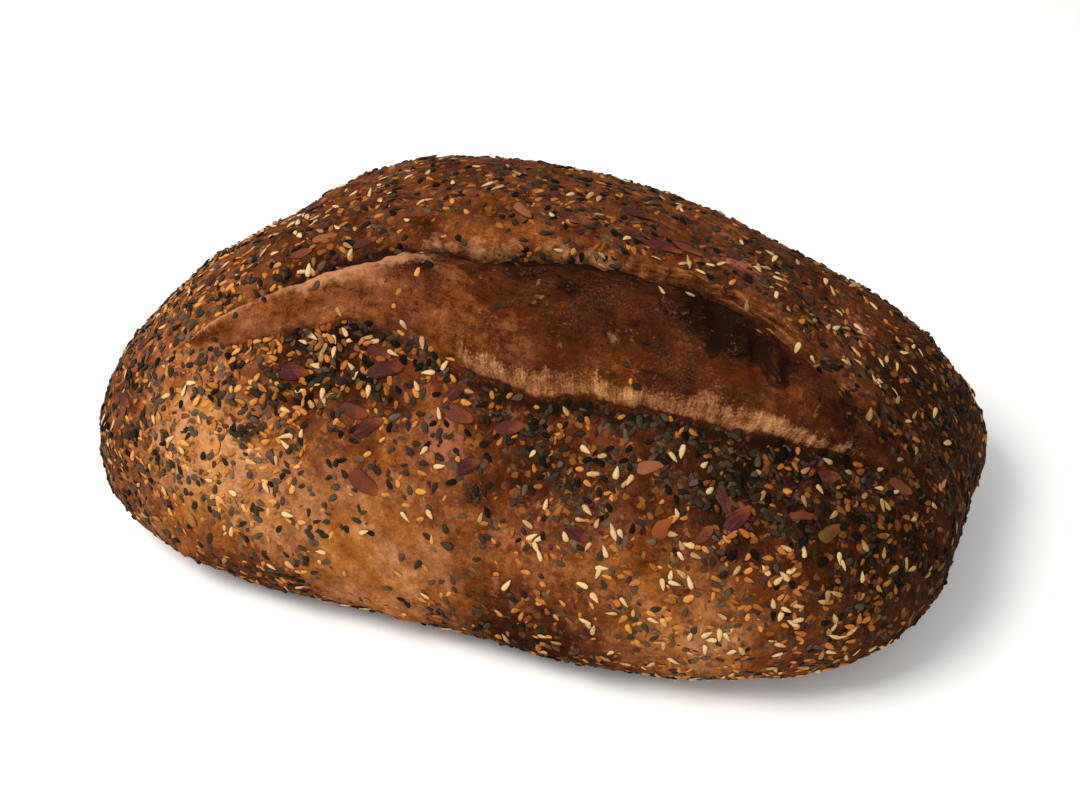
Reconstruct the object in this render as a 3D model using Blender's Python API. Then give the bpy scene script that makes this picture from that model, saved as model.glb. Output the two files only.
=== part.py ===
"""A seeded sourdough loaf, baked on the hearth: one solid.

The crust opens along one long score, off centre towards the front, and seeds are fused to the rest of it.
Lengths are in metres. +X runs to the loaf's right end, -Y faces the viewer, +Z is up, and the
origin is the middle of the flat base.
"""

import math
import random

import bmesh
import bpy
import numpy as np
from mathutils import Matrix, Vector, noise

MM = 0.001

# The bare loaf. A point of it is found along a direction from its core, which lies at the waist.
HALF_LENGTH = 118 * MM
HALF_WIDTH = 77 * MM
HEIGHT = 89 * MM
WAIST = 20.5 * MM  # the height of its widest level
KEEL = 32.7 * MM  # how far the belly would reach below the waist if no hearth had flattened it
PLAN_POWER = 2.68  # 2 is an ellipse seen from above; more is squarer
CROWN_POWER = 1.8
BELLY_POWER = 2.46
PLAN_WAVES = ((3, -0.03), (4, 0.036), (5, 0.011))  # hand shaping: turns round the plan, share of the radius
CROWN_WAVE = -0.059  # three more such turns that grow towards the crown
CROWN_SHIFT = -9.4 * MM  # the crown leans this far to the left
END_FALL = -0.086  # the crown sinks by this share towards the right end
END_DROOP = -0.039  # and by this share towards both ends
DROOP_FROM = 0.4  # where the droop is nothing: the square of a share of the half length
BASE_ROUND = 3 * MM  # how softly the belly turns into the base
BASE_CUT = 0.12 * BASE_ROUND  # what the hearth takes off to make the base flat
BASE_PLAIN = 7 * MM  # the lumps fade out below this height

# The score, seen from above: its near and its far edge, as (x, y) in millimetres. They meet at both ends.
NEAR_EDGE = (
    (-88, -42),
    (-64, -43),
    (-46, -40),
    (-28, -38.8),
    (-8, -45),
    (14, -47.4),
    (40, -46.3),
    (72, -41.3),
    (94, -34),
)
FAR_EDGE = (
    (-88, -42),
    (-72, -36),
    (-54, -31),
    (-40, -25.8),
    (-28, -20),
    (-8, -18),
    (24, -13.5),
    (42, -9.5),
    (58, -11.5),
    (78, -21.5),
    (94, -34),
)
SCORE_OPEN = 30 * MM  # the width at which its relief is full
SCORE_CLOSED = 0.2 * MM  # the width that stands for none

# Heights across the open score, from the near edge (0) to the far edge (1).
BLOOM_LEFT = ((0.0, -0.8), (0.14, 0.8), (0.32, 3.0), (0.62, 5.2), (0.84, 5.8), (0.94, 3.4), (1.0, -1.2))
BLOOM_RIGHT = (
    (0.0, -2.4),
    (0.05, 0.8),
    (0.11, 3.6),
    (0.2, 5.4),
    (0.4, 6.2),
    (0.64, 4.8),
    (0.86, 1.6),
    (1.0, -1.2),
)
# Heights on the crust beside it, by the distance from the edge, first with its left-hand character.
NEAR_SIDES = (
    ((0, -0.8), (3, -1.0), (9, -0.5), (18, 0.2), (28, 0.4), (40, 0)),
    ((0, -2.4), (3, -2.7), (9, -1.5), (18, 0.2), (28, 0.6), (40, 0)),
)
FAR_SIDES = (
    ((0, -1.2), (2, -2.4), (6, -0.8), (13, 0.9), (24, 0.5), (40, 0)),
    ((0, -1.2), (3, 2.4), (7, 3.4), (13, 2.2), (22, 0.6), (40, 0)),
)
LEFT_TO_RIGHT = (-48 * MM, -4 * MM)  # the far edge changes from a groove to a lifted lip between these
LIP_OVERHANG = 2.4 * MM
LIP_AT = (4, 4)  # its middle and its width, in millimetres beyond the far edge
ROLL_OVERHANG = 1.6 * MM
LEFT_ROLL_AT = (0.88, 0.08)  # the same for the rolls of torn dough, as shares of the way across the score
NEAR_ROLL_AT = (0.12, 0.09)

# Pockets where the torn dough folded in, as x, y, the two radii, the turn in degrees, and the depth.
POCKETS = (
    (45.5, -21, 10.0, 3.2, 102, 3.0),
    (38, -14, 5.0, 2.6, -10, 1.8),
    (-20, -21, 8.0, 2.0, 14, 1.4),
    (-2, -19, 5.0, 1.8, 8, 1.6),
)
# A tongue of dough that curled over, ringed by a groove: x, y, the two radii and the turn in degrees.
TONGUE = (58.5, -25, 11.0, 4.0, 96)
TONGUE_RIM = (1.05, 0.3)  # the middle and the width of the groove, as shares of the radii
TONGUE_GROOVE = 1.2 * MM
TONGUE_SWELL = 0.6 * MM
SWELL_WIDTH = 0.7
TONGUE_ROOT = (0.9, -0.1)  # along it, the groove grows between these from nothing at the lip

# Uneven crust: the size of the bumps, their height, and where in the noise they are read.
CRUST_LUMPS = ((42, 1.3, 3.1), (17, 0.85, 11.7), (8, 0.6, 23.9))

BODY_SUBDIVISIONS = 7
BODY_TRIANGLES = 4900
SCORE_MARGIN = 9 * MM  # the mesh is finer out to this distance from the open score

# Seeds: length, width and thickness.
KERNEL_SIZE = (10.2 * MM, 5.4 * MM, 2.4 * MM)
GRAIN_SIZE = (3.9 * MM, 2.3 * MM, 1.5 * MM)
KERNEL_SPACING = 21 * MM
GRAIN_SPACING = 12.5 * MM
KERNEL_COUNT = 26
GRAIN_COUNT = 130
KERNEL_ROOM = 9 * MM  # grains keep this far from kernels
PLACES_TRIED = 2600
LOWEST_RISE = -0.25  # the sine of the lowest direction that is tried
BARE_BESIDE = (4 * MM, 7 * MM)  # no seed lies this near to the near edge and to the far edge of the score
SEED_LOWEST = 7 * MM  # no seed lies nearer to the base
SEED_POINT = (0.9, 1.3)  # how much slimmer its pointed end is, and how late it grows slim
SEED_SINK = 0.12  # the share of its thickness by which a seed's middle lies below the crust
DRAW = 1907

CRUST_COLOUR = (0.30, 0.12, 0.045)
CRUST_ROUGHNESS = 0.72
SHARP_FROM = 50  # degrees


def smoothstep(low, high, value):
    share = np.clip((value - low) / (high - low), 0, 1)
    return share * share * (3 - 2 * share)


def part_way(share, start, end):
    return (1 - share) * start + share * end


def bell(value, middle, width):
    return np.exp(-(((value - middle) / width) ** 2))


def curve_through(points, at):
    """A smooth curve through (position, value) pairs, level beyond its two ends."""
    positions, values = np.array(points, float).T
    slopes = np.gradient(values, positions)
    at = np.clip(at, positions[0], positions[-1])
    left = np.clip(np.searchsorted(positions, at) - 1, 0, len(positions) - 2)
    gap = positions[left + 1] - positions[left]
    share = (at - positions[left]) / gap
    rise = values[left + 1] - values[left]
    bend = share * (1 - share)
    start = slopes[left] * gap - rise
    end = rise - slopes[left + 1] * gap
    return values[left] + share * rise + bend * ((1 - share) * start + share * end)


def curve_mm(points, at):
    """The same for pairs in millimetres, read and answered in metres."""
    return curve_through(points, at / MM) * MM


def bumps(points, size, place):
    """Noise from -1 to 1 whose bumps are about this size."""
    scale = 1 / (size * MM)
    shift = Vector((place, -place, 0.5 * place))
    return np.array([noise.noise(Vector(point) * scale + shift) for point in points])


def directions_of(headings, rises):
    """Unit vectors from a heading round +Z and a rise above the level, both in radians."""
    level = np.cos(rises)
    return np.stack((np.cos(headings) * level, np.sin(headings) * level, np.sin(rises)), axis=1)


def bare_form(directions):
    """The loaf without its score or its lumps."""
    x, y, z = directions.T
    heading = np.arctan2(y / HALF_WIDTH, x / HALF_LENGTH)
    plan = np.abs(x / HALF_LENGTH) ** PLAN_POWER + np.abs(y / HALF_WIDTH) ** PLAN_POWER
    waves = sum(share * np.sin(turns * heading) for turns, share in PLAN_WAVES)
    plan = plan ** (1 / PLAN_POWER)
    rising = z > 0
    power = np.where(rising, CROWN_POWER, BELLY_POWER)
    reach = np.where(rising, HEIGHT - WAIST, KEEL)
    height = np.abs(z) / reach
    lifted = np.clip(z / reach * (plan**power + height**power) ** (-1 / power), 0, 1)
    plan /= 1 + waves + CROWN_WAVE * lifted * np.sin(3 * heading)
    radius = (plan**power + height**power) ** (-1 / power)
    points = directions * radius[:, None]
    points[:, 0] += CROWN_SHIFT * lifted**2
    return flattened(points + (0, 0, WAIST))


def flattened(points):
    """Lets the crown sink towards the ends and turns the belly softly into a level base."""
    along = points[:, 0] / HALF_LENGTH
    lifted = np.clip(points[:, 2] / HEIGHT, 0, 1.3)
    points[:, 2] *= 1 + lifted * (END_FALL * along + END_DROOP * (along**2 - DROOP_FROM))
    points[:, 2] = (points[:, 2] + np.hypot(points[:, 2], BASE_ROUND)) / 2 - BASE_CUT
    return points


def normals_of(form, directions, step=0.004):
    """Outward unit normals of a form that maps directions to points."""
    axis = np.where(np.abs(directions[:, 2:]) < 0.9, [[0.0, 0.0, 1.0]], [[1.0, 0.0, 0.0]])
    across = np.cross(axis, directions)
    across /= np.linalg.norm(across, axis=1)[:, None]
    up = np.cross(directions, across)
    sides = []
    for tangent in (across, up):
        ahead, behind = directions + step * tangent, directions - step * tangent
        ahead /= np.linalg.norm(ahead, axis=1)[:, None]
        behind /= np.linalg.norm(behind, axis=1)[:, None]
        sides.append(form(ahead) - form(behind))
    normals = np.cross(*sides)
    return normals / np.linalg.norm(normals, axis=1)[:, None]


def score_at(points):
    """Where points lie on the score: metres past the near edge, metres past the far edge, the share of
    the way across, how far it has opened, and the share of the right-hand character."""
    x, y = points[:, 0], points[:, 1]
    near, far = curve_mm(NEAR_EDGE, x), curve_mm(FAR_EDGE, x)
    width = np.maximum(far - near, SCORE_CLOSED)
    opened = np.sqrt(smoothstep(0, SCORE_OPEN, width)) * (points[:, 2] > WAIST)
    right = smoothstep(*LEFT_TO_RIGHT, x)
    return y - near, y - far, (y - near) / width, opened, right


def score_relief(points):
    """(height along the normal, shift along +Y) that the opened score gives each point."""
    past_near, past_far, share, opened, right = score_at(points)
    inside = part_way(right, curve_through(BLOOM_LEFT, share), curve_through(BLOOM_RIGHT, share))
    near_side = part_way(right, *(curve_through(side, -past_near / MM) for side in NEAR_SIDES))
    far_side = part_way(right, *(curve_through(side, past_far / MM) for side in FAR_SIDES))
    height = np.where(past_near < 0, near_side, np.where(past_far > 0, far_side, inside)) * MM
    lip = bell(past_far / MM, *LIP_AT) * right
    left_roll = bell(share, *LEFT_ROLL_AT) * (1 - right)
    shift = ROLL_OVERHANG * (left_roll - bell(share, *NEAR_ROLL_AT)) - LIP_OVERHANG * lip
    return height * opened, shift * opened


def oval(points, x, y, long_radius, short_radius, turn):
    """Where points lie in an oval, seen from above, as shares of its two radii."""
    angle = math.radians(turn)
    east, north = points[:, 0] / MM - x, points[:, 1] / MM - y
    along = (east * math.cos(angle) + north * math.sin(angle)) / long_radius
    aside = (north * math.cos(angle) - east * math.sin(angle)) / short_radius
    return along, aside


def fold_relief(points):
    """The pockets and the curled tongue on the torn dough."""
    height = sum(-deep * MM * bell(np.hypot(*oval(points, *place)), 0, 1) for *place, deep in POCKETS)
    along, aside = oval(points, *TONGUE)
    away = np.hypot(along, aside)
    groove = TONGUE_GROOVE * bell(away, *TONGUE_RIM) * (1 - smoothstep(*reversed(TONGUE_ROOT), along))
    height = height + TONGUE_SWELL * bell(away, 0, SWELL_WIDTH) - groove
    return height * (points[:, 2] > WAIST)


def loaf_form(directions):
    """The loaf's outer form, before its base is flattened."""
    points = bare_form(directions)
    normals = normals_of(bare_form, directions)
    height, shift = score_relief(points)
    height = height + fold_relief(points)
    lumps = sum(tall * MM * bumps(points, size, place) for size, tall, place in CRUST_LUMPS)
    height = height + lumps * smoothstep(0, BASE_PLAIN, points[:, 2])
    moved = points + normals * height[:, None]
    moved[:, 1] += shift
    return moved


def clear_scene():
    for scene_object in list(bpy.data.objects):
        bpy.data.objects.remove(scene_object, do_unlink=True)
    for mesh in list(bpy.data.meshes):
        bpy.data.meshes.remove(mesh)


def new_collection(name):
    collection = bpy.data.collections.new(name)
    bpy.context.scene.collection.children.link(collection)
    return collection


def material(name, colour, roughness):
    made = bpy.data.materials.new(name)
    made.use_nodes = True
    shader = made.node_tree.nodes["Principled BSDF"]
    shader.inputs["Base Color"].default_value = (*colour, 1)
    shader.inputs["Roughness"].default_value = roughness
    shader.inputs["Metallic"].default_value = 0
    return made


def vertex_array(mesh):
    co = np.empty(len(mesh.vertices) * 3)
    mesh.vertices.foreach_get("co", co)
    return co.reshape(-1, 3)


def flatten_base(body):
    """Cuts the belly off level at the hearth and closes it with one flat face."""
    cut = bmesh.ops.bisect_plane(
        body,
        geom=list(body.verts) + list(body.edges) + list(body.faces),
        plane_co=(0, 0, 0),
        plane_no=(0, 0, -1),
        clear_outer=True,
    )
    rim = [item for item in cut["geom_cut"] if isinstance(item, bmesh.types.BMEdge)]
    bmesh.ops.contextual_create(body, geom=rim)


def refine_score(body):
    """Splits the edges of a ball of directions once more where the score will lie."""
    middles = np.array([(edge.verts[0].co + edge.verts[1].co).normalized() for edge in body.edges])
    past_near, past_far, share, opened, right = score_at(bare_form(middles))
    close = (past_near > -SCORE_MARGIN) & (past_far < SCORE_MARGIN) & (opened > 0)
    edges = [edge for edge, chosen in zip(list(body.edges), close) if chosen]
    bmesh.ops.subdivide_edges(body, edges=edges, cuts=1)
    bmesh.ops.triangulate(body, faces=body.faces)
    for vertex in body.verts:
        vertex.co.normalize()


def make_loaf(collection):
    """The loaf with its score, as a mesh whose triangles crowd where the crust bends."""
    body = bmesh.new()
    bmesh.ops.create_icosphere(body, subdivisions=BODY_SUBDIVISIONS, radius=1)
    refine_score(body)
    mesh = bpy.data.meshes.new("loaf")
    body.to_mesh(mesh)
    mesh.vertices.foreach_set("co", loaf_form(vertex_array(mesh)).ravel())
    body.clear()
    body.from_mesh(mesh)
    flatten_base(body)
    bmesh.ops.recalc_face_normals(body, faces=body.faces)
    body.to_mesh(mesh)
    count = sum(len(face.verts) - 2 for face in body.faces)
    body.free()
    loaf = bpy.data.objects.new("loaf", mesh)
    collection.objects.link(loaf)
    thin = loaf.modifiers.new("fewer_triangles", "DECIMATE")
    thin.ratio = BODY_TRIANGLES / count
    thin.use_collapse_triangulate = True
    return loaf


def seed_mesh(name, size, sides, rings):
    """A pip along X: a ball drawn out to a point at one end."""
    pip = bmesh.new()
    upright_to_x = Matrix.Rotation(math.pi / 2, 3, "Y")
    bmesh.ops.create_uvsphere(pip, u_segments=sides, v_segments=rings, radius=0.5)
    bmesh.ops.transform(pip, matrix=upright_to_x.to_4x4(), verts=pip.verts)
    length, width, thickness = size
    slimmer, late = SEED_POINT
    for vertex in pip.verts:
        x, y, z = vertex.co
        slim = 1 - slimmer * max(x, 0) ** late
        vertex.co = (x * length, y * width * slim, z * thickness * slim)
    mesh = bpy.data.meshes.new(name)
    pip.to_mesh(mesh)
    pip.free()
    return mesh


def even_places(count, spacing, offset, taken):
    """Directions of places that are spread evenly over the seeded crust, spacing apart."""
    draw = random.Random(DRAW + offset)
    order = np.arange(PLACES_TRIED) + 0.5
    headings = np.pi * (1 + math.sqrt(5)) * order + offset
    rises = np.arcsin(1 - (1 - LOWEST_RISE) * order / PLACES_TRIED)
    directions = directions_of(headings, rises)
    points = loaf_form(directions)
    past_near, past_far, share, opened, right = score_at(points)
    bare = (opened > 0) & (past_near > -BARE_BESIDE[0]) & (past_far < BARE_BESIDE[1])
    ranks = list(range(PLACES_TRIED))
    draw.shuffle(ranks)
    kept = []
    for rank in ranks:
        if len(kept) == count:
            break
        place = points[rank]
        if bare[rank] or place[2] < SEED_LOWEST:
            continue
        if all(np.linalg.norm(place - other) > gap for other, gap in taken):
            kept.append(rank)
            taken.append((place, spacing))
    return directions[kept]


def lay_seeds(collection, name, size, sides, rings, directions, offset):
    """Lays one pip flat on the crust at each place, turned at random."""
    draw = random.Random(DRAW - offset)
    mesh = seed_mesh(name, size, sides, rings)
    points, normals = loaf_form(directions), normals_of(loaf_form, directions, step=0.02)
    for number, (point, normal) in enumerate(zip(points, normals)):
        pip = bpy.data.objects.new(f"{name}_{number:03d}", mesh)
        flat = Vector(normal).to_track_quat("Z", "X").to_matrix().to_4x4()
        turn = Matrix.Rotation(draw.uniform(0, 2 * math.pi), 4, "Z")
        sunk = Vector(point) - Vector(normal) * SEED_SINK * size[2]
        pip.matrix_world = Matrix.Translation(sunk) @ flat @ turn
        collection.objects.link(pip)


def fuse(loaf, toppings):
    """Joins every topping to the loaf and removes the separate ones."""
    join = loaf.modifiers.new("fused_toppings", "BOOLEAN")
    join.operation = "UNION"
    join.operand_type = "COLLECTION"
    join.collection = toppings
    join.solver = "MANIFOLD"
    bpy.context.view_layer.update()
    graph = bpy.context.evaluated_depsgraph_get()
    joined = bpy.data.meshes.new_from_object(loaf.evaluated_get(graph))
    loaf.modifiers.clear()
    loaf.data = joined
    for pip in list(toppings.objects):
        bpy.data.objects.remove(pip, do_unlink=True)
    bpy.data.collections.remove(toppings)


def main():
    clear_scene()
    bread = new_collection("seeded_sourdough_loaf")
    toppings = new_collection("seeds")
    loaf = make_loaf(bread)
    taken = []
    kernels = even_places(KERNEL_COUNT, KERNEL_SPACING, 3, taken)
    lay_seeds(toppings, "kernel", KERNEL_SIZE, 7, 5, kernels, 3)
    taken = [(place, KERNEL_ROOM) for place, gap in taken]
    grains = even_places(GRAIN_COUNT, GRAIN_SPACING, 8, taken)
    lay_seeds(toppings, "grain", GRAIN_SIZE, 5, 4, grains, 8)
    fuse(loaf, toppings)
    loaf.name = "loaf"
    loaf.data.name = "loaf"
    loaf.data.materials.clear()
    loaf.data.materials.append(material("crust", CRUST_COLOUR, CRUST_ROUGHNESS))
    loaf.data.shade_smooth()
    loaf.data.set_sharp_from_angle(angle=math.radians(SHARP_FROM))


main()
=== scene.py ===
"""The looks of a seeded sourdough loaf, in metres.

A fine crust stands for the CAD loaf. It has the same form, with the finer relief added: the torn fringe
along the score, ragged edges and folds. Kernels, four kinds of fine seed and flakes of bran lie on it.
"""

import math
from collections import namedtuple

import bmesh
import bpy
import numpy as np
from mathutils import Matrix, Vector, noise


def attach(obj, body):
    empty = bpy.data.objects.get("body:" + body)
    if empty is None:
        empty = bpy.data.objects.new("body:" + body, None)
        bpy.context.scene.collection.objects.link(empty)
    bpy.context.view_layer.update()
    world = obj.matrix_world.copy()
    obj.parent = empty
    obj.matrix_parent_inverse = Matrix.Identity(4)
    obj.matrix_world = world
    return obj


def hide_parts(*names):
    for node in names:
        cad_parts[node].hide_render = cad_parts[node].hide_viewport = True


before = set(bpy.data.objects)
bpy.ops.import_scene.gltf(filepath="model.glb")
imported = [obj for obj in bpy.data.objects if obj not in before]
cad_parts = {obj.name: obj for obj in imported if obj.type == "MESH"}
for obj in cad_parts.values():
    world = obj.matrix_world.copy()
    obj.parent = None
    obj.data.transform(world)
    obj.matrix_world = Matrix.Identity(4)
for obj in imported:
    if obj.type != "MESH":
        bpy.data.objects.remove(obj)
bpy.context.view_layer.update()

MM = 0.001

# Where points lie on the score: metres past its near and far edge, the share of the way across, how far it
# has opened, and the share of the right-hand character.
Score = namedtuple("Score", "near far share opened right")

# ---- the form, as in the CAD source
HALF_LENGTH = 118 * MM
HALF_WIDTH = 77 * MM
HEIGHT = 89 * MM
WAIST = 20.5 * MM  # the height of its widest level
KEEL = 32.7 * MM  # how far the belly would reach below the waist if no hearth had flattened it
PLAN_POWER = 2.68  # 2 is an ellipse seen from above; more is squarer
CROWN_POWER = 1.8
BELLY_POWER = 2.46
PLAN_WAVES = ((3, -0.03), (4, 0.036), (5, 0.011))  # hand shaping: turns round the plan, share of the radius
CROWN_WAVE = -0.059  # three more such turns that grow towards the crown
CROWN_SHIFT = -9.4 * MM  # the crown leans this far to the left
END_FALL = -0.086  # the crown sinks by this share towards the right end
END_DROOP = -0.039  # and by this share towards both ends
CROWN_CAP = 1.3  # the sinking grows up to this share of the height
DROOP_FROM = 0.4  # where the droop is nothing: the square of a share of the half length
BASE_ROUND = 3 * MM  # how softly the belly turns into the base
BASE_CUT = 0.12 * BASE_ROUND  # what the hearth takes off to make the base flat
BASE_PLAIN = 7 * MM  # the lumps fade out below this height

# The score, seen from above: its near and its far edge, as (x, y) in millimetres. They meet at both ends.
NEAR_EDGE = (
    (-88, -42), (-64, -43), (-46, -40), (-28, -38.8), (-8, -45), (14, -47.4), (40, -46.3), (72, -41.3),
    (94, -34),
)
FAR_EDGE = (
    (-88, -42), (-72, -36), (-54, -31), (-40, -25.8), (-28, -20), (-8, -18), (24, -13.5), (42, -9.5),
    (58, -11.5), (78, -21.5), (94, -34),
)
SCORE_OPEN = 30 * MM  # the width at which its relief is full
SCORE_CLOSED = 0.2 * MM  # the width that stands for none

# Heights across the open score, from the near edge (0) to the far edge (1).
BLOOM_LEFT = ((0, -0.8), (0.14, 0.8), (0.32, 3), (0.62, 5.2), (0.84, 5.8), (0.94, 3.4), (1, -1.2))
BLOOM_RIGHT = (
    (0, -2.4), (0.05, 0.8), (0.11, 3.6), (0.2, 5.4), (0.4, 6.2), (0.64, 4.8), (0.86, 1.6), (1, -1.2),
)
# Heights on the crust beside it, by the distance from the edge, first with its left-hand character.
NEAR_SIDES = (
    ((0, -0.8), (3, -1), (9, -0.5), (18, 0.2), (28, 0.4), (40, 0)),
    ((0, -2.4), (3, -2.7), (9, -1.5), (18, 0.2), (28, 0.6), (40, 0)),
)
FAR_SIDES = (
    ((0, -1.2), (2, -2.4), (6, -0.8), (13, 0.9), (24, 0.5), (40, 0)),
    ((0, -1.2), (3, 2.4), (7, 3.4), (13, 2.2), (22, 0.6), (40, 0)),
)
LEFT_TO_RIGHT = (-48 * MM, -4 * MM)  # the far edge changes from a groove to a lifted lip between these
LIP_OVERHANG = 2.4 * MM
LIP_AT = (4, 4)  # its middle and its width, in millimetres beyond the far edge
ROLL_OVERHANG = 1.6 * MM
LEFT_ROLL_AT = (0.88, 0.08)  # the same for the rolls of torn dough, as shares of the way across the score
NEAR_ROLL_AT = (0.12, 0.09)

# Pockets where the torn dough folded in, as x, y, the two radii, the turn in degrees, and the depth.
POCKETS = (
    (45.5, -21, 10, 3.2, 102, 3), (38, -14, 5, 2.6, -10, 1.8), (-20, -21, 8, 2, 14, 1.4),
    (-2, -19, 5, 1.8, 8, 1.6),
)
# A tongue of dough that curled over, ringed by a groove: x, y, the two radii and the turn in degrees.
TONGUE = (58.5, -25, 11, 4, 96)
TONGUE_RIM = (1.05, 0.3)  # the middle and the width of the groove, as shares of the radii
TONGUE_GROOVE = 1.2 * MM
TONGUE_SWELL = 0.6 * MM
SWELL_WIDTH = 0.7
TONGUE_ROOT = (0.9, -0.1)  # along it, the groove grows between these from nothing at the lip

# Uneven crust: the size of the bumps, their height, and where in the noise they are read.
CRUST_LUMPS = ((42, 1.3, 3.1), (17, 0.85, 11.7), (8, 0.6, 23.9))

# ---- finer relief, given as above
BALL_SUBDIVISIONS = 7
REFINED_TO = (8, 2.5)  # the mesh is made finer out to these distances from the score
EDGE_RAGS = ((9, 1.3, 41.3), (2.6, 0.8, 5.9))  # how ragged the score's edges are
PORES = ((3.6, 0.34, 77.7), (1.3, 0.1, 31.1))
BLOOM_LUMPS = ((11, 0.8, 17.9), (4.2, 0.4, 63.1))
FRINGE_WIDTH = 4.7  # the pale torn band inside the near edge
FRINGE_FROM_TO = (-24, -4, 66, 96)  # along the loaf: it begins, is full, starts to fade, and ends
FRINGE_NARROWS, FRINGE_NARROWED = (50, 88), 0.6  # along the loaf, between these, by this share
FRINGE_RISES, FRINGE_FADES = (-0.2, 0.9), (0.35, 1.3)  # past the near edge; the second in its widths
TEARS = ((0.7, 0.06, 9.4), (2.6, 0.24, 53.2))  # torn threads of the fringe
TEAR_DRAW = (1, 0.15, 0.1)  # how they are drawn out along, across and up the loaf
LIP_WIDTH = 4.8  # the bare, fibrous band beyond the far edge
LIP_FROM_TO = (8, 34, 60, 80)
LIP_RISES, LIP_FADES = (-0.8, 0.4), (0.6, 1.2)
EDGE_BLUR = (-0.5, 0.3)  # how softly the torn dough begins at the score's edges
FIBRES = ((0.8, 0.24, 27.7), (2.1, 0.36, 81.3))
FIBRE_DRAW = (0.12, 1, 0.1)
FOLD_WANDER = ((6, 1.6, 19.3), (2.2, 0.8, 44.1))  # how far the folds stray from their plain ovals
WANDER_WAY = (1, -0.7, 0)
# Painted shade along two strands that curl through the folds of the torn dough: (x, y) in millimetres along
# each, seen from above.
LONG_STRAND = ((50, -10), (51.3, -16), (53.8, -23.2), (57.3, -30.5), (59.8, -33.6), (62, -32.6), (62.8, -26))
SIDE_STRAND = ((48, -9), (49, -16), (48.2, -22), (46.6, -28), (45.4, -33))
STRANDS = (LONG_STRAND, SIDE_STRAND)
STRAND_REACH = 2  # to each side of its middle
FOLD_SHADE_DEPTH = 2.6 * MM  # a fold as deep as this gets the full painted shade
STRAND_DRAW = 0.12  # how far the hairs in them are drawn out
# Painted shade in the creases along both edges, behind the left ridge and under the lip, and pale edges with
# a painted highlight: the middle and the width of each, in millimetres past the near or the far edge.
NEAR_CREASE_SHADE = (-2, 2)
CREASE_SHADE_LEFT = 0.35  # how strong it is at the left
FAR_GROOVE_SHADE = (1, 1.5)
SHADE_BEHIND_RIDGE = (3, 2)
RIDGE_FROM_TO = (-62, -50, -34, -26)
SHADE_UNDER_LIP = (-1.8, 2.2)
LEFT_RIDGE_HIGHLIGHT = (0.86, 0.24)  # the painted highlight on the left ridge, this one as shares of the way across the score
LEFT_RIDGE_HIGHLIGHT_FADES = (-34, -6)
FAR_PALE = (1.6, 2.6)
FAR_PALE_FROM_TO = (-40, -24, 14, 36)
FAR_PALENESS = 0.75
GATHERED_AT = (-3, 2.5)  # seeds gather along the near edge
GAPING = 1.9  # how soon the score gapes fully, as it opens

# ---- camera
CAMERA_AZIMUTH = 12.75
CAMERA_ELEVATION = 38
CAMERA_DISTANCE = 411.7 * MM
CAMERA_LENS, CAMERA_SENSOR = 50, 36  # in millimetres
CAMERA_CLIP = 10 * MM
CAMERA_AIM = Vector((0, 0, 40.5 * MM))
CAMERA_SHIFT = (-0.0094, -0.037)

# ---- seeds
DRAW = 1907
SEED_LOWEST = 2.5 * MM
SEED_TILT = 0.15
SEED_LEAN = (0, -0.28, 0.1)  # what the seeds of the back lean by, towards the front and the crown
LEAN_RISE = 2  # how soon they lean fully, as the crust turns to the back
SEED_UNEVEN = 0.07  # how the proportions of a seed vary
SEED_SIZES = (0.6, 1.35)  # the least and the most, as shares of the usual size
SEED_RAGGED = (1.3, 0.16)  # how a pip's form strays: over what distance and how far, in millimetres
KERNEL_RAGGED = (3.2, 0.6)
# Each kind: its length, width and thickness, how drawn out its point is, how blunt its ends are, the least
# and the most that its middle stands out of the crust, in thicknesses, and how its size varies.
KINDS = {
    "cream_sesame": ((3.05, 1.65, 0.75), 0.78, 0.45, (0.12, 0.45), 0.08),
    "golden_flax": ((2.5, 1.6, 0.65), 0.62, 0.3, (-0.35, 0.22), 0.18),
    "dull_sesame": ((2.5, 1.7, 0.65), 0.58, 0.35, (-0.42, 0.1), 0.14),
    "black_sesame": ((2.6, 1.75, 0.75), 0.58, 0.35, (-0.3, 0.28), 0.12),
    "bran_flakes": ((1.7, 1.1, 0.4), 0.3, 0.2, (-0.2, 0.4), 0.28),
}
# Where each kind of seed is commoner (+) or rarer (-): x, y, z, radius in millimetres, change.
CREAM_SPOTS = (
    (-48, -47, 69, 13, 0.22), (40, -76, 26, 26, 0.11), (84, -62, 22, 24, 0.13), (20, -72, 34, 14, 0.1),
    (62, -52, 56, 20, -0.03), (62, -2, 74, 26, 0.1), (94, -20, 55, 16, 0.05), (-94, -33, 62, 16, 0.08),
    (-62, -4, 84, 22, 0.09), (84, 6, 60, 22, 0.12), (40, -52, 62, 16, 0.03),
)
GOLDEN_SPOTS = (
    (-72, -58, 50, 28, 0.3), (-50, -50, 66, 14, 0.18), (-10, -62, 52, 20, -0.1), (50, -76, 22, 34, 0.12),
    (0, 30, 85, 36, -0.12), (30, -54, 62, 18, -0.24), (62, -54, 54, 20, -0.16), (-92, -33, 60, 22, 0.24),
    (105, -10, 35, 30, -0.14), (50, 14, 76, 30, -0.14),
)
DULL_SPOTS = ((-80, -56, 45, 26, 0.08), (60, -50, 56, 24, 0.1))
BLACK_SPOTS = (
    (0, -54, 62, 16, 0.08), (-50, -48, 68, 14, -0.06), (-112, -30, 36, 22, 0.16),
    (-98, -38, 52, 18, 0.26), (-94, -22, 62, 16, 0.2), (48, -77, 24, 30, -0.44), (90, -60, 24, 24, -0.2),
    (10, -74, 30, 18, -0.24), (-80, -62, 36, 20, -0.12), (-62, -70, 12, 18, -0.1),
)
BRAN_SPOTS = ((-76, -54, 52, 28, 0.18), (56, -54, 56, 30, 0.06), (60, -76, 20, 30, 0.05))
RAREST = 0.01  # no kind's share falls below this
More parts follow.
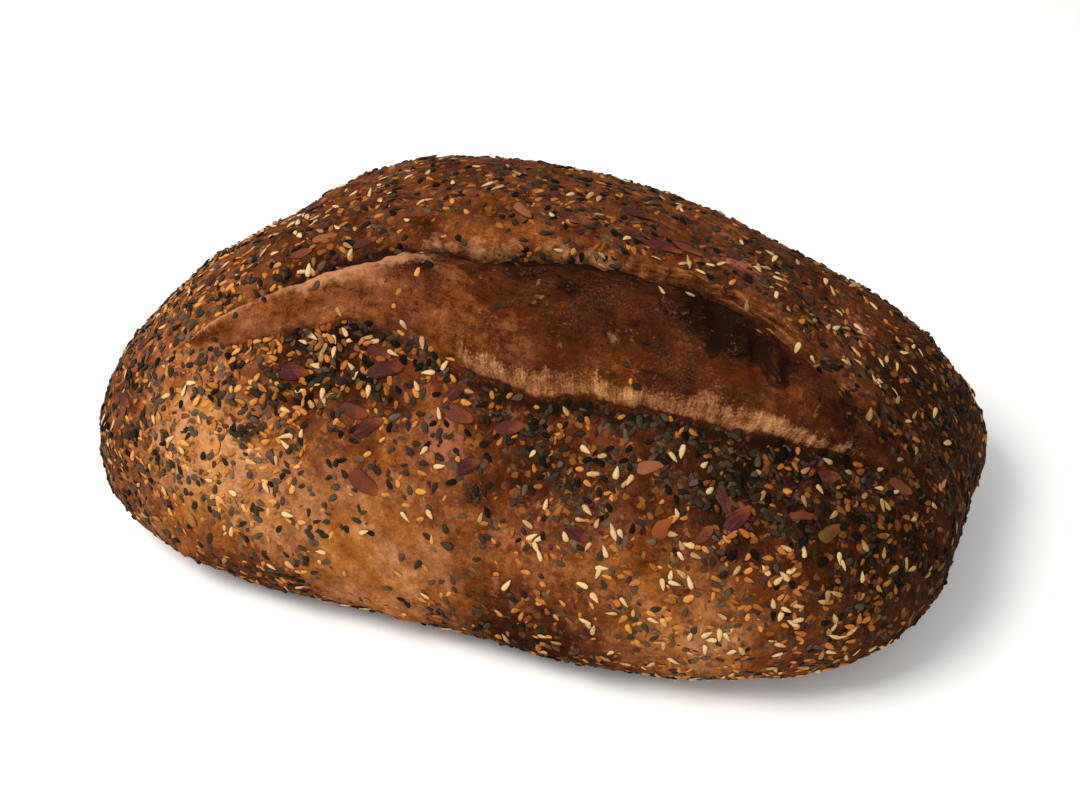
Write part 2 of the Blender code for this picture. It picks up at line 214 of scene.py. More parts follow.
# For each kind: its usual share and its spots.
MIX = {
    "cream_sesame": (0.036, CREAM_SPOTS),
    "golden_flax": (0.23, GOLDEN_SPOTS),
    "dull_sesame": (0.27, DULL_SPOTS),
    "black_sesame": (0.36, BLACK_SPOTS),
    "bran_flakes": (0.16, BRAN_SPOTS),
}
# Where all of them lie thicker (+) or thinner (-), given in the same way.
COVER_SPOTS = (
    (-100, -45, 42, 26, 0.34), (-74, -56, 50, 22, 0.32), (-48, -47, 68, 18, 0.35),
    (-30, -72, 30, 24, -0.49), (-2, -76, 24, 20, -0.38), (-82, -55, 50, 18, 0.1), (22, -70, 42, 14, 0.08),
    (40, -76, 24, 16, 0.1), (26, -74, 30, 14, -0.25), (-80, -66, 24, 16, -0.26), (-54, -71, 18, 8, 0.5),
    (-10, -74, 15, 8, 0.5), (8, -55, 61, 20, 0.03), (62, -54, 54, 26, 0.14), (70, -74, 18, 24, 0.05),
    (105, -25, 38, 24, -0.2), (-90, -28, 62, 20, 0.38), (72, 32, 62, 20, -0.3), (-62, 30, 74, 24, -0.3),
    (-22, 36, 82, 22, -0.18), (18, 34, 79, 22, -0.3), (50, 30, 70, 20, -0.22), (96, 16, 48, 18, -0.18),
    (-32, -14, 90, 7, -0.45), (-18, -12, 91, 7, -0.5), (-4, -13, 91, 7, -0.5), (10, -12, 91, 7, -0.4),
)
# The same for a second layer, where the seeds are heaped.
HEAP_SPOTS = (
    (-50, -46, 69, 13, 0.75), (-34, -44, 72, 9, 0.55), (-66, -50, 62, 14, 0.35),
    (-100, -46, 44, 20, 0.25), (0, -52, 64, 12, 0.22), (62, -54, 55, 20, 0.4), (84, -56, 44, 16, 0.3),
)
# Each layer: the gap between its seeds, how many places are tried, how high it lies, how thickly its seeds
# lie as a rule, from 0 to 1, and its spots.
LAYERS = (
    (1.25 * MM, 110000, 0, 0.55, COVER_SPOTS),
    (1.5 * MM, 60000, 0.6 * MM, 0.03, HEAP_SPOTS),
)
HEAP_FULL = 0.4  # where the second layer is as thick as this, it lies at its full height
TONE_SPREAD = 0.75  # how the tones of the seeds vary
TONE_FALL, TONE_AT = 0.5, 0.68  # how they darken where the crust's browning and painted shade are more than the second
# Other places where they are darker; at the right end this is painted shade.
TONE_AND_SHADE_SPOTS = ((106, -24, 40, 34, -0.34), (96, -46, 34, 24, -0.16), (10, 20, 88, 36, -0.12))
CLUSTERS = ((7, 1.3, 15.5), (3, 0.9, 8.8))  # how the seeds gather: size of the clusters, strength, place
SKIN_SQUEEZE = (0.2, 1, 1)  # the streaks of a kernel's skin run along it
GATHERED_COVER = 0.35  # more seeds hug the near edge
STRAY_COVER = 0.022  # on the bare torn dough
SUNKEN_COVER = 0.7  # of the seeds that the crust has grown over

# Kernels that the camera sees: x, y, z in millimetres, turn in degrees, size and tone.
KERNEL = (8.6, 4.4, 1.3)
KERNEL_FORM = (0.45, 0.45)  # how drawn out its point is and how blunt its ends are
KERNEL_STANDS = (-0.15, 0.3)  # the least and the most that its middle stands out of the crust
KERNEL_CLEAR = 2.9 * MM  # from its middle, for its usual size: no seeds lie on it there
KERNELS = (
    (-84, -23.5, 73, 40, 0.8, 0.15), (-54, -17, 86, 20, 0.8, 0.85), (-59, -22, 83.5, 10, 0.7, 0.55),
    (-44.5, -19, 87, 30, 0.8, 0.4), (-6, -5, 92, -45, 0.9, 0.85), (-53, -49, 66, 12, 0.95, 0.1),
    (-30.5, -46, 69.5, 30, 1.15, 0.15), (-33, -43, 72, -20, 0.85, 0.35), (-103, -46, 47, -50, 0.8, 0.4),
    (-82, -55, 52, 10, 0.6, 0.5), (-32, -56, 59, 52, 1, 0.15), (-37, -54, 62, -15, 0.85, 0.45),
    (-11, -51, 63, -16, 1, 0.5), (-12, -47, 67, 65, 0.8, 0.3), (1.5, -53, 63, 14, 0.9, 0.4),
    (-32.5, -63, 47, -55, 1.05, 0.5), (-7, -60, 54, 42, 0.9, 0.1), (-102, -33, 56, 5, 0.7, 0.35),
    (21.5, 11.6, 86, -5, 1.1, 0.1), (23, -4, 88, -12, 1, 0.05), (36, 2, 84, -20, 1, 0.5),
    (37, -56, 60, 18, 0.68, 0.86), (78, -45, 55, 16, 0.85, 0.3), (95.5, -36, 47, 10, 0.95, 0.52),
    (59, -61, 52, 58, 0.95, 0.1), (54, -58, 55, -60, 0.75, 0.2), (42, -65, 50, 76, 0.85, 1),
    (51, -65, 50, 70, 0.65, 0.5), (73, -56, 52, 14, 0.8, 0.5), (80, -57, 48, 45, 0.85, 0.66),
    (22, -68, 46, -32, 0.9, 0.1), (63, -49, 57, 85, 0.6, 0.52), (-80, -65, 28, 82, 0.8, 0.78),
)
BACK_KERNELS = 34  # and as thickly on the sides that it doesn't see
BACK_TRIES = 40  # places tried for each
BACK_FACING = 0.15  # the crust there faces the back by at least this
BACK_LOWEST = 8 * MM
BACK_GAP = 14 * MM
BACK_DRAWS = ((-90, 90), (0.7, 1.1), (0, 0.55))  # the least and the most of their turn, size and tone
KERNEL_UNEVEN = (0.92, 1.08)
BARELY, MOSTLY = 0.1, 0.5  # less torn dough than the first counts as none; past the second, it is bare
SEED_FACETS, KERNEL_FACETS = (7, 5), (16, 12)  # sides and rings of a pip
THIN_END = 0.55  # a pip's thickness at a drawn-out end, as a share
SHARPEST = 0.05  # keeps the crown's value finite at its ends


def tint(red, green, blue):
    """The linear colour, with its alpha, that a screen shows by these numbers from 0 to 255."""
    return *(((part / 255 + 0.055) / 1.055) ** 2.4 for part in (red, green, blue)), 1


# ---- colours, as screens show them
# A ramp has a row for each of its colours: its position, then red, green and blue from 0 to 255.
CRUST_COLOURS = (
    (0, 186, 132, 90), (0.25, 148, 94, 56), (0.5, 102, 55, 28), (0.75, 61, 28, 9), (1, 28, 12, 2),
)
RUSTY_COLOURS = (
    (0, 182, 120, 66), (0.25, 144, 84, 36), (0.5, 100, 50, 15), (0.75, 60, 27, 4), (1, 28, 12, 1),
)
BLOOM_COLOURS = ((0, 166, 108, 70), (0.3, 118, 68, 38), (0.6, 70, 32, 11), (1, 24, 9, 1))
TAWNY_COLOURS = ((0, 164, 102, 56), (0.3, 122, 68, 30), (0.6, 74, 35, 8), (1, 24, 10, 1))
RUDDY_COLOUR = tint(84, 32, 15)
SMOKY_COLOUR = tint(40, 18, 8)
DUST_COLOUR = tint(116, 76, 54)
FRINGE_COLOURS = ((0.2, 84, 48, 26), (0.4, 134, 84, 48), (0.6, 174, 120, 74), (0.85, 206, 154, 102))
LIP_COLOURS = ((0.38, 46, 23, 9), (0.52, 98, 54, 23), (0.7, 160, 98, 48))
# Paler dough, with a painted highlight along the left ridge of the torn dough.
PALE_AND_HIGHLIGHT_COLOUR = tint(176, 124, 84)
FLUSH_COLOUR = tint(150, 88, 62)
# Painted shade for the creases and folds, also the colour of the dark scratches and specks.
SHADE_AND_SPECK_COLOUR = tint(30, 14, 7)
GOLDEN_SUNK = tint(150, 92, 38)
SLATE_SUNK = tint(50, 39, 26)
# Painted sheen on the kernels along the streaks of their skin, and an orange end that is partly a painted
# highlight.
KERNEL_SHEEN = tint(112, 66, 50)
KERNEL_TIP_SHEEN = tint(136, 68, 26)
# Painted shade round the rim of each pip, where it meets the crust.
RIM_SHADE_COLOURS = {
    "kernels": tint(52, 18, 8),
    "cream_sesame": tint(56, 22, 10),
    "golden_flax": tint(74, 34, 12),
    "dull_sesame": tint(34, 25, 15),
    "black_sesame": tint(17, 14, 9),
    "bran_flakes": tint(48, 20, 10),
}
SEED_COLOURS = {
    "cream_sesame": ((0, 142, 106, 62), (0.35, 192, 156, 104), (1, 208, 178, 126)),
    "golden_flax": ((0, 104, 58, 20), (0.5, 168, 104, 42), (0.85, 200, 136, 62), (1, 206, 158, 100)),
    "dull_sesame": ((0, 42, 31, 20), (0.35, 64, 51, 36), (0.7, 84, 69, 51), (1, 110, 91, 68)),
    "black_sesame": (
        (0, 12, 11, 5), (0.25, 22, 20, 12), (0.5, 44, 38, 26), (0.8, 64, 53, 40), (1, 84, 70, 54),
    ),
    "bran_flakes": (
        (0, 48, 22, 28), (0.25, 68, 35, 38), (0.45, 84, 42, 18), (0.6, 150, 88, 30),
        (0.8, 190, 126, 54), (1, 120, 98, 66),
    ),
}
KERNEL_COLOURS = (
    (0, 54, 24, 22), (0.4, 70, 33, 26), (0.55, 98, 50, 27), (0.62, 84, 56, 20), (0.72, 92, 62, 22),
    (0.78, 150, 98, 44), (0.85, 124, 76, 44), (1, 120, 62, 24),
)

# Where the crust is darker (+) or lighter (-) than elsewhere, from its browning and from painted light and
# shade: darker at the right end and in the valley along the score's near edge, lighter at the front left: x,
# y, z, radius, change.
TOAST = 0.55
TOAST_AND_PAINTED_LIGHT_SPOTS = (
    (-72, -60, 44, 24, -0.52), (-94, -4, 62, 20, -0.14), (-32, -72, 28, 28, -0.32),
    (-62, -70, 12, 18, 0.28), (-92, -33, 62, 16, -0.06), (18, -72, 36, 16, -0.18),
    (14, -74, 12, 18, 0.34), (52, -78, 22, 20, -0.36), (-18, -13, 91, 12, -0.02), (-20, 26, 86, 22, 0.12),
    (-100, -45, 42, 16, 0.06), (-8, -57, 57, 9, -0.1), (-46, -44, 70, 17, 0.42), (6, -54, 62, 20, 0.3),
    (60, -50, 56, 24, 0.38), (88, -56, 36, 16, 0.1), (104, -40, 30, 34, 0.28), (108, 0, 40, 34, 0.26),
    (-58, -10, 86, 24, 0.1), (60, 20, 68, 30, 0.12),
)
# The same for the torn dough, with painted shade in the hollows under the far edge and towards the right, and
# where the crust is flushed.
BLOOM_TONE = 0.62
BLOOM_TONE_AND_SHADE_SPOTS = (
    (-74, -40, 71, 15, -0.34), (-54, -36, 79, 15, -0.25), (-36, -36, 78, 12, -0.22),
    (-20, -40, 76, 9, -0.18), (-32, -23, 87, 6, 0.22), (-27, -25, 87, 3, 0.55), (-20, -25, 88, 2, 0.5),
    (4, -26, 90, 14, 0.15), (24, -24, 86, 18, 0.28), (44, -17, 79, 8, 0.25), (46, -24, 79, 13, 0.34),
    (61, -24, 74, 9, 0.24), (80, -32, 62, 14, 0.18),
)
FLUSH_SPOTS = (
    (-14, -56, 58, 6, 0.9), (49, 6, 78, 6, 0.9), (81, 6, 61, 8, 0.5), (-60, -62, 44, 16, 0.45),
    (-96, -36, 56, 12, 0.35), (10, -68, 40, 14, 0.4),
)

# ---- paint
# A noise is its size in millimetres and its strength. A thread is a size, a squeeze along the loaf, across
# the near edge and across the far edge, and a strength. A band is where a paint begins, where it is full
# and, if it isn't 1, its strength. Patches are the size of a noise, then a band.
TOAST_NOISES = ((30, 0.5), (8, 0.75), (2.4, 0.5), (0.7, 0.45))
RUSTY_PATCHES = (12, 0.44, 0.58)
BLOOM_NOISES = ((15, 1), (6, 0.6), (2, 0.35), (0.5, 0.4))
BLOOM_THREADS = ((1.1, (1, 0.2, 0), 0.25), (3.5, (0.2, 1, 0), 0.65), (1.1, (0.14, 1, 0), 0.5))
TAWNY_PATCHES = (10, 0.45, 0.56)
RUDDY_PATCHES = (11, 0.5, 0.64, 0.35)
SMOKY_PATCHES = (4.6, 0.58, 0.68, 0.55)
FLOUR_SIZE, FLOUR_BAND = 0.6, (0.46, 0.7, 0.36)
DUSTY_PATCHES = (9, 0.47, 0.62)
SCRATCHES, SCRATCH_BAND = (0.9, (0.3, 1, 0)), (0.58, 0.66, 0.75)
SCRATCH_PATCHES = (8, 0.5, 0.6)
SPECKS = (1.5, 0.62, 0.68, 0.7)
LIP_STREAKS, LIP_NOISES = (0.9, (0.12, 0, 1)), ((5, 0.6), (0.8, 0.4))
FRINGE_TONE = 0.54
FRINGE_NOISES = ((7, 1.1), (0.6, 0.7))
FRINGE_THREADS = ((0.6, (1, 0.14, 0), 0.65), (2.6, (1, 0.4, 0), 0.5))
FRAYED_THREADS = ((0.8, (1, 0.12, 0), 0.9), (2.6, (1, 0.12, 0), 0.9))
# What is painted on the crust, in this order, among it the painted shade in the creases and a painted
# highlight on the pale edges: the noises and the threads that fray it, and its band.
PAINTS = {
    "flush": (((6, 1.6), (1.5, 1.2)), (), (0.3, 0.75, 0.8)),
    "lip": (((5, 1.2), (1.2, 1)), (), (0.35, 0.9, 0.85)),
    "fringe": (((6, 1.3), (1.6, 1), (0.6, 0.9)), FRAYED_THREADS, (0.38, 1.05, 0.95)),
    "pale_and_lit_edge": (((7, 2.6), (1.6, 1.6), (0.5, 0.9)), (), (0.45, 1.2, 0.75)),
    "crease_shade": (((5, 0.9), (1.2, 0.9)), (), (0.3, 0.95, 0.95)),
}
HAIRS, STRAND_NOISES, STRAND_BAND = (0.8, 2.4), ((3, 1),), (0.45, 0.85, 0.92)
# Seeds in the crust: how far, and over what distance, they are bent, the gap between them, the band at their
# edge, and for each paint which draw picks its seeds, and that draw's band.
SUNKEN_BEND, SUNKEN_GAP, SUNKEN_EDGE = 1.8 * MM, 2.2 * MM, (0.47, 0.4)
SUNKEN_PAINTS = ((0, (0.66, 0.68, 0.7), GOLDEN_SUNK), (1, (0.5, 0.52, 0.7), SLATE_SUNK))
SEED_NOISES, KERNEL_NOISES = ((1.2, 0.5), (0.4, 0.6)), ((2, 0.12),)
SEED_RIM_SHADE, KERNEL_RIM_SHADE = (-0.1, 0.55), (-0.2, 0.4)  # the bands of the skin above the rim, below which the rim gets painted shade
SKIN_LINES, SHEEN_BAND = 0.5, (0.48, 0.68, 0.35)
TIP_NOISES, TIP_BAND = ((2.5, 1),), (0.55, 1.05, 0.75)
# Roughness and shine, then fine relief for the light: size, height in millimetres and strength.
CRUST_SHINE, CRUST_BUMPS = (0.85, 0.02), ((2.2, 0.6, 0.5), (0.5, 0.2, 0.5))
SEED_SHINE, SEED_BUMPS = (0.72, 0.04), ((0.4, 0.12, 0.45),)
KERNEL_SHINE, KERNEL_BUMPS = (0.68, 0.05), ((0.8, 0.2, 0.3),)

# ---- the studio
FLOOR_SIZE, FLOOR_SHINE, FLOOR_COLOUR = 6, (0.9, 0.1), (0.9, 0.9, 0.89, 1)
SKY_COLOUR, SKY_STRENGTH = (1, 1, 1, 1), 0.62
# Name, place and size in metres, watts and colour.
LAMPS = (
    ("key", (-0.55, -0.35, 0.95), 0.55, 13, (1, 0.98, 0.95)),
    ("fill", (0.7, -0.7, 0.6), 0.8, 2.5, (1, 1, 1)),
)


def smoothstep(low, high, value):
    share = np.clip((value - low) / (high - low), 0, 1)
    return share * share * (3 - 2 * share)


def part_way(share, start, end):
    return (1 - share) * start + share * end


def bell(value, middle, width):
    return np.exp(-(((value - middle) / width) ** 2))


def unit(vectors):
    return vectors / np.linalg.norm(vectors, axis=1)[:, None]


def curve_through(points, at):
    """A smooth curve through (position, value) pairs, level beyond its two ends."""
    positions, values = np.array(points, float).T
    slopes = np.gradient(values, positions)
    at = np.clip(at, positions[0], positions[-1])
    left = np.clip(np.searchsorted(positions, at) - 1, 0, len(positions) - 2)
    gap = positions[left + 1] - positions[left]
    share = (at - positions[left]) / gap
    rise = values[left + 1] - values[left]
    bend = share * (1 - share)
    start = slopes[left] * gap - rise
    end = rise - slopes[left + 1] * gap
    return values[left] + share * rise + bend * ((1 - share) * start + share * end)


def curve_mm(points, at):
    """The same for pairs in millimetres, read and answered in metres."""
    return curve_through(points, at / MM) * MM


def bumps(points, size, place):
    """Noise from -1 to 1 whose bumps are about this size, in millimetres."""
    scale = 1 / (size * MM)
    shift = Vector((place, -place, 0.5 * place))
    return np.array([noise.noise(Vector(point) * scale + shift) for point in points])


def relief(points, layers):
    """The sum of bumps of several sizes, in metres."""
    return sum(tall * MM * bumps(points, size, place) for size, tall, place in layers)


def patches(points, spots):
    """The sum of soft round spots, each given as x, y, z, radius in millimetres and strength."""
    total = np.zeros(len(points))
    for x, y, z, radius, strength in spots:
        away = np.linalg.norm(points / MM - (x, y, z), axis=1)
        total += strength * bell(away, 0, radius)
    return total


# ---- the form


def bare_form(directions):
    """The loaf without its score or its lumps: where each direction from its core meets the surface."""
    x, y, z = directions.T
    heading = np.arctan2(y / HALF_WIDTH, x / HALF_LENGTH)
    plan = np.abs(x / HALF_LENGTH) ** PLAN_POWER + np.abs(y / HALF_WIDTH) ** PLAN_POWER
    waves = sum(share * np.sin(turns * heading) for turns, share in PLAN_WAVES)
    plan = plan ** (1 / PLAN_POWER)
    rising = z > 0
    power = np.where(rising, CROWN_POWER, BELLY_POWER)
    reach = np.where(rising, HEIGHT - WAIST, KEEL)
    height = np.abs(z) / reach
    lifted = np.clip(z / reach * (plan**power + height**power) ** (-1 / power), 0, 1)
    plan /= 1 + waves + CROWN_WAVE * lifted * np.sin(3 * heading)
    radius = (plan**power + height**power) ** (-1 / power)
    points = directions * radius[:, None]
    points[:, 0] += CROWN_SHIFT * lifted**2
    return flattened(points + (0, 0, WAIST))


def flattened(points):
    """Lets the crown sink towards the ends and turns the belly softly into a level base."""
    along = points[:, 0] / HALF_LENGTH
    lifted = np.clip(points[:, 2] / HEIGHT, 0, CROWN_CAP)
    points[:, 2] *= 1 + lifted * (END_FALL * along + END_DROOP * (along**2 - DROOP_FROM))
    points[:, 2] = (points[:, 2] + np.hypot(points[:, 2], BASE_ROUND)) / 2 - BASE_CUT
    return points


def normals_of(form, directions, step=0.004):
    """Outward unit normals of a form that maps directions to points."""
    axis = np.where(np.abs(directions[:, 2:]) < 0.9, [[0.0, 0.0, 1.0]], [[1.0, 0.0, 0.0]])
    across = unit(np.cross(axis, directions))
    sides = []
    for tangent in (across, np.cross(directions, across)):
        sides.append(form(unit(directions + step * tangent)) - form(unit(directions - step * tangent)))
    return unit(np.cross(*sides))


def score_at(points, rag=0):
    """The Score of each point, with its edges moved along Y by a rag."""
    x, y = points[:, 0], points[:, 1] + rag
    near, far = curve_mm(NEAR_EDGE, x), curve_mm(FAR_EDGE, x)
    width = np.maximum(far - near, SCORE_CLOSED)
    opened = np.sqrt(smoothstep(0, SCORE_OPEN, width)) * (points[:, 2] > WAIST)
    right = smoothstep(*LEFT_TO_RIGHT, x)
    return Score(y - near, y - far, (y - near) / width, opened, right)


def score_relief(score):
    """(height along the normal, shift along +Y) that the opened score gives each point."""
    past_near, past_far, share, opened, right = score
    inside = part_way(right, curve_through(BLOOM_LEFT, share), curve_through(BLOOM_RIGHT, share))
    near_side = part_way(right, *(curve_through(side, -past_near / MM) for side in NEAR_SIDES))
    far_side = part_way(right, *(curve_through(side, past_far / MM) for side in FAR_SIDES))
    height = np.where(past_near < 0, near_side, np.where(past_far > 0, far_side, inside)) * MM
    lip = bell(past_far / MM, *LIP_AT) * right
    left_roll = bell(share, *LEFT_ROLL_AT) * (1 - right)
    shift = ROLL_OVERHANG * (left_roll - bell(share, *NEAR_ROLL_AT)) - LIP_OVERHANG * lip
    return height * opened, shift * opened


def oval(points, x, y, long_radius, short_radius, turn):
    """Where points lie in an oval, seen from above, as shares of its two radii."""
    angle = math.radians(turn)
    east, north = points[:, 0] / MM - x, points[:, 1] / MM - y
    along = (east * math.cos(angle) + north * math.sin(angle)) / long_radius
    aside = (north * math.cos(angle) - east * math.sin(angle)) / short_radius
    return along, aside


def fold_relief(points):
    """The pockets and the curled tongue on the torn dough."""
    height = sum(-deep * MM * bell(np.hypot(*oval(points, *place)), 0, 1) for *place, deep in POCKETS)
    along, aside = oval(points, *TONGUE)
    away = np.hypot(along, aside)
    groove = TONGUE_GROOVE * bell(away, *TONGUE_RIM) * (1 - smoothstep(*reversed(TONGUE_ROOT), along))
    height = height + TONGUE_SWELL * bell(away, 0, SWELL_WIDTH) - groove
    return height * (points[:, 2] > WAIST)


def wandering(points):
    """Points moved as torn dough strays."""
    return points + relief(points, FOLD_WANDER)[:, None] * WANDER_WAY


def between(from_to, x):
    """1 along the loaf between the two middle places, fading to 0 at the outer two."""
    begins, full, fades, ends = from_to
    return smoothstep(begins, full, x / MM) * (1 - smoothstep(fades, ends, x / MM))


def fringe_of(points, score):
    """How much of the pale torn band each point has."""
    x, into = points[:, 0], score.near / MM
    width = FRINGE_WIDTH * (1 - FRINGE_NARROWED * smoothstep(*FRINGE_NARROWS, x / MM))
    across = smoothstep(*FRINGE_RISES, into) * (1 - smoothstep(*FRINGE_FADES, into / width))
    return across * between(FRINGE_FROM_TO, x) * (score.opened > 0)


def lip_of(points, score):
    """How much of the bare fibrous band beyond the far edge each point has."""
    beyond = score.far / MM
    across = smoothstep(*LIP_RISES, beyond) * (1 - smoothstep(*LIP_FADES, beyond / LIP_WIDTH))
    return across * between(LIP_FROM_TO, points[:, 0]) * (score.opened > 0)


def beside_strand(points, strand):
    """How far aside from a strand points lie, and how far along it, seen from above, in millimetres."""
    aside, along = np.full(len(points), np.inf), np.zeros(len(points))
    passed = 0
    for start, end in zip(np.array(strand), np.array(strand[1:])):
        step = end - start
        length = math.hypot(*step)
        offset = points[:, :2] / MM - start
        share = np.clip(offset @ step / length**2, 0, 1)
        away = np.hypot(*(offset - share[:, None] * step).T)
        along = np.where(away < aside, passed + share * length, along)
        aside = np.minimum(away, aside)
        passed += length
    return aside, along


def strands_of(points, score):
    """How much painted shade along a strand in the folds each point has, and where it lies along and aside
    for the hairs in it.
    """
    asides, alongs = zip(*(beside_strand(wandering(points), strand) for strand in STRANDS))
    aside, along = np.min(asides, axis=0), np.choose(np.argmin(asides, axis=0), alongs)
    hairs = np.stack((aside, STRAND_DRAW * along, 0 * along), axis=1) * MM
    return bell(aside, 0, STRAND_REACH) * inside_score(score), hairs


def torn_threads(points, score):
    """Fine threads of torn dough: they run across the fringe and along the lip."""
    x, z = points[:, 0], points[:, 2]
    across = np.stack((x, score.near, z), axis=1) * TEAR_DRAW
    along = np.stack((x, score.far, z), axis=1) * FIBRE_DRAW
    return relief(across, TEARS) * fringe_of(points, score) + relief(along, FIBRES) * lip_of(points, score)


def crust_form(directions):
    """(points, bare points, score) of the fine crust, before its base is flattened."""
    bare = bare_form(directions)
    normals = normals_of(bare_form, directions)
    score = score_at(bare, relief(bare, EDGE_RAGS))
    height, shift = score_relief(score)
    on_bloom = inside_score(score)
    height = height + fold_relief(wandering(bare))
    height = height + relief(bare, CRUST_LUMPS + PORES) * smoothstep(0, BASE_PLAIN, bare[:, 2])
    height = height + relief(bare, BLOOM_LUMPS) * on_bloom + torn_threads(bare, score)
    moved = bare + normals * height[:, None]
    moved[:, 1] += shift
    return moved, bare, score


def inside_score(score):
    """How much of the torn dough each point has."""
    inside = smoothstep(*EDGE_BLUR, score.near / MM) * smoothstep(*EDGE_BLUR, -score.far / MM)
    return inside * (score.opened > 0)


def paint_values(points, score):
    """What the crust's material reads at each point, by name: shares from 0 to 1, among them painted shade
    and a painted highlight, tones that carry painted light and shade too, and places.
    """
    past_near, past_far, share, opened, right = score
    x, near, far = points[:, 0], past_near / MM, past_far / MM
    gaping = np.minimum(opened * GAPING, 1)
    bloom = inside_score(score)
    # Painted shade in the creases, grooves and folds, behind the left ridge and under the lip.
    near_crease_shade = bell(near, *NEAR_CREASE_SHADE) * gaping * part_way(right, CREASE_SHADE_LEFT, 1)
    far_groove_shade = bell(far, *FAR_GROOVE_SHADE) * (1 - right) * gaping
    shade_behind_ridge = bell(far, *SHADE_BEHIND_RIDGE) * between(RIDGE_FROM_TO, x)
    shade_under_lip = bell(far, *SHADE_UNDER_LIP) * right * gaping
    folds = np.clip(-fold_relief(wandering(points)) / FOLD_SHADE_DEPTH, 0, 1)
    # A painted highlight along the left ridge, and paler dough beyond the far edge.
    left_ridge_highlight = bell(share, *LEFT_RIDGE_HIGHLIGHT) * (1 - smoothstep(*LEFT_RIDGE_HIGHLIGHT_FADES, x / MM)) * bloom
    far_pale = FAR_PALENESS * bell(far, *FAR_PALE) * between(FAR_PALE_FROM_TO, x)
    strand, hairs = strands_of(points, score)
    return {
        "bloom": bloom,
        "fringe": fringe_of(points, score),
        "lip": lip_of(points, score),
        "crease_shade": np.clip(near_crease_shade + far_groove_shade + shade_under_lip + folds + shade_behind_ridge, 0, 1),
        "pale_and_lit_edge": np.clip(left_ridge_highlight + far_pale, 0, 1),
        # The toast carries painted light and shade as well as the browning.
        "toast_and_painted_light": TOAST + patches(points, TOAST_AND_PAINTED_LIGHT_SPOTS),
        # The bloom's tone carries painted shade in the hollows and towards the right.
        "bloom_tone_and_shade": BLOOM_TONE + patches(points, BLOOM_TONE_AND_SHADE_SPOTS),
        "flush": patches(points, FLUSH_SPOTS),
        "cover": np.clip(SUNKEN_COVER + patches(points, COVER_SPOTS), 0, 1) * (bloom < BARELY),
        "gathered": bell(near, *GATHERED_AT) * gaping,
        "strand": strand,
        "hairs": hairs,
        "torn": np.stack((x, past_near, past_far), axis=1),
    }


# ---- meshes


def numbers_of(collection, name, size=1, kind=float):
    """One value, or one row of values, for each item of a mesh's collection."""
    values = np.empty(len(collection) * size, kind)
    collection.foreach_get(name, values)
    return values if size == 1 else values.reshape(-1, size)


def points_and_normals(mesh):
    return numbers_of(mesh.vertices, "co", 3), numbers_of(mesh.vertices, "normal", 3)


def refine(ball, margin):
    """Splits the edges of a ball of directions where they lie within this distance of the open score."""
    middles = np.array([(edge.verts[0].co + edge.verts[1].co).normalized() for edge in ball.edges])
    score = score_at(bare_form(middles))
    close = (score.near > -margin * MM) & (score.far < margin * MM) & (score.opened > 0)
    edges = [edge for edge, chosen in zip(list(ball.edges), close) if chosen]
    bmesh.ops.subdivide_edges(ball, edges=edges, cuts=1)
    bmesh.ops.triangulate(ball, faces=[face for face in ball.faces if len(face.verts) > 3])
    for vertex in ball.verts:
        vertex.co.normalize()


def flatten_base(body):
    """Cuts the belly off level at the hearth and closes it with one flat face."""
    cut = bmesh.ops.bisect_plane(
        body,
        geom=list(body.verts) + list(body.edges) + list(body.faces),
        plane_co=(0, 0, 0),
        plane_no=(0, 0, -1),
        clear_outer=True,
    )
    rim = [item for item in cut["geom_cut"] if isinstance(item, bmesh.types.BMEdge)]
    bmesh.ops.contextual_create(body, geom=rim)
    bmesh.ops.triangulate(body, faces=[face for face in body.faces if len(face.verts) > 3])
    bmesh.ops.recalc_face_normals(body, faces=body.faces)


def add_values(mesh, name, values):
    """Keeps one number, or one vector, for each point of a mesh."""
    kind, field = ("FLOAT_VECTOR", "vector") if values.ndim == 2 else ("FLOAT", "value")
    mesh.attributes.new(name, kind, "POINT").data.foreach_set(field, values.astype(np.float32).ravel())


def new_object(name, data):
    made = bpy.data.objects.new(name, data)
    bpy.context.scene.collection.objects.link(made)
    return made


def new_piece(name, mesh, material):
    piece = new_object(name, mesh)
    mesh.materials.append(material)
    mesh.shade_smooth()
    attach(piece, "root")
    return piece


def make_crust(material):
    ball = bmesh.new()
    bmesh.ops.create_icosphere(ball, subdivisions=BALL_SUBDIVISIONS, radius=1)
    for margin in REFINED_TO:
        refine(ball, margin)
    mesh = bpy.data.meshes.new("crust")
    ball.to_mesh(mesh)
    points, bare, score = crust_form(numbers_of(mesh.vertices, "co", 3))
    mesh.vertices.foreach_set("co", points.ravel())
    for name, values in paint_values(bare, score).items():
        add_values(mesh, name, values)
    ball.clear()
    ball.from_mesh(mesh)
    flatten_base(ball)
    ball.to_mesh(mesh)
    ball.free()
    crust = new_piece("crust", mesh, material)
    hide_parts("loaf")
    return crust


def pip_shape(size, sides, rings, drawn_out, blunt):
    """(points, faces, crown) of one flat pip along +X, drawn to a point in front. Its crown is 0 round its
    rim and 1 along the middle of its upper side."""
    pip = bmesh.new()
    bmesh.ops.create_uvsphere(pip, u_segments=sides, v_segments=rings, radius=0.5)
    bmesh.ops.rotate(pip, matrix=Matrix.Rotation(math.pi / 2, 3, "Y"), verts=pip.verts)
    length, width, thickness = (part * MM for part in size)
    points, crown = [], []
    for vertex in pip.verts:
        x, y, z = vertex.co
        x = part_way(blunt, x, math.sin(math.pi * x) / 2)
        slim = 1 - drawn_out * (x + 0.5) ** 2
        points.append((x * length, y * width * slim, z * thickness * part_way(slim, THIN_END, 1)))
        crown.append(z / max(math.hypot(y, z), SHARPEST))
    faces = [[vertex.index for vertex in face.verts] for face in pip.faces]
    pip.free()
    return np.array(points), faces, np.array(crown)


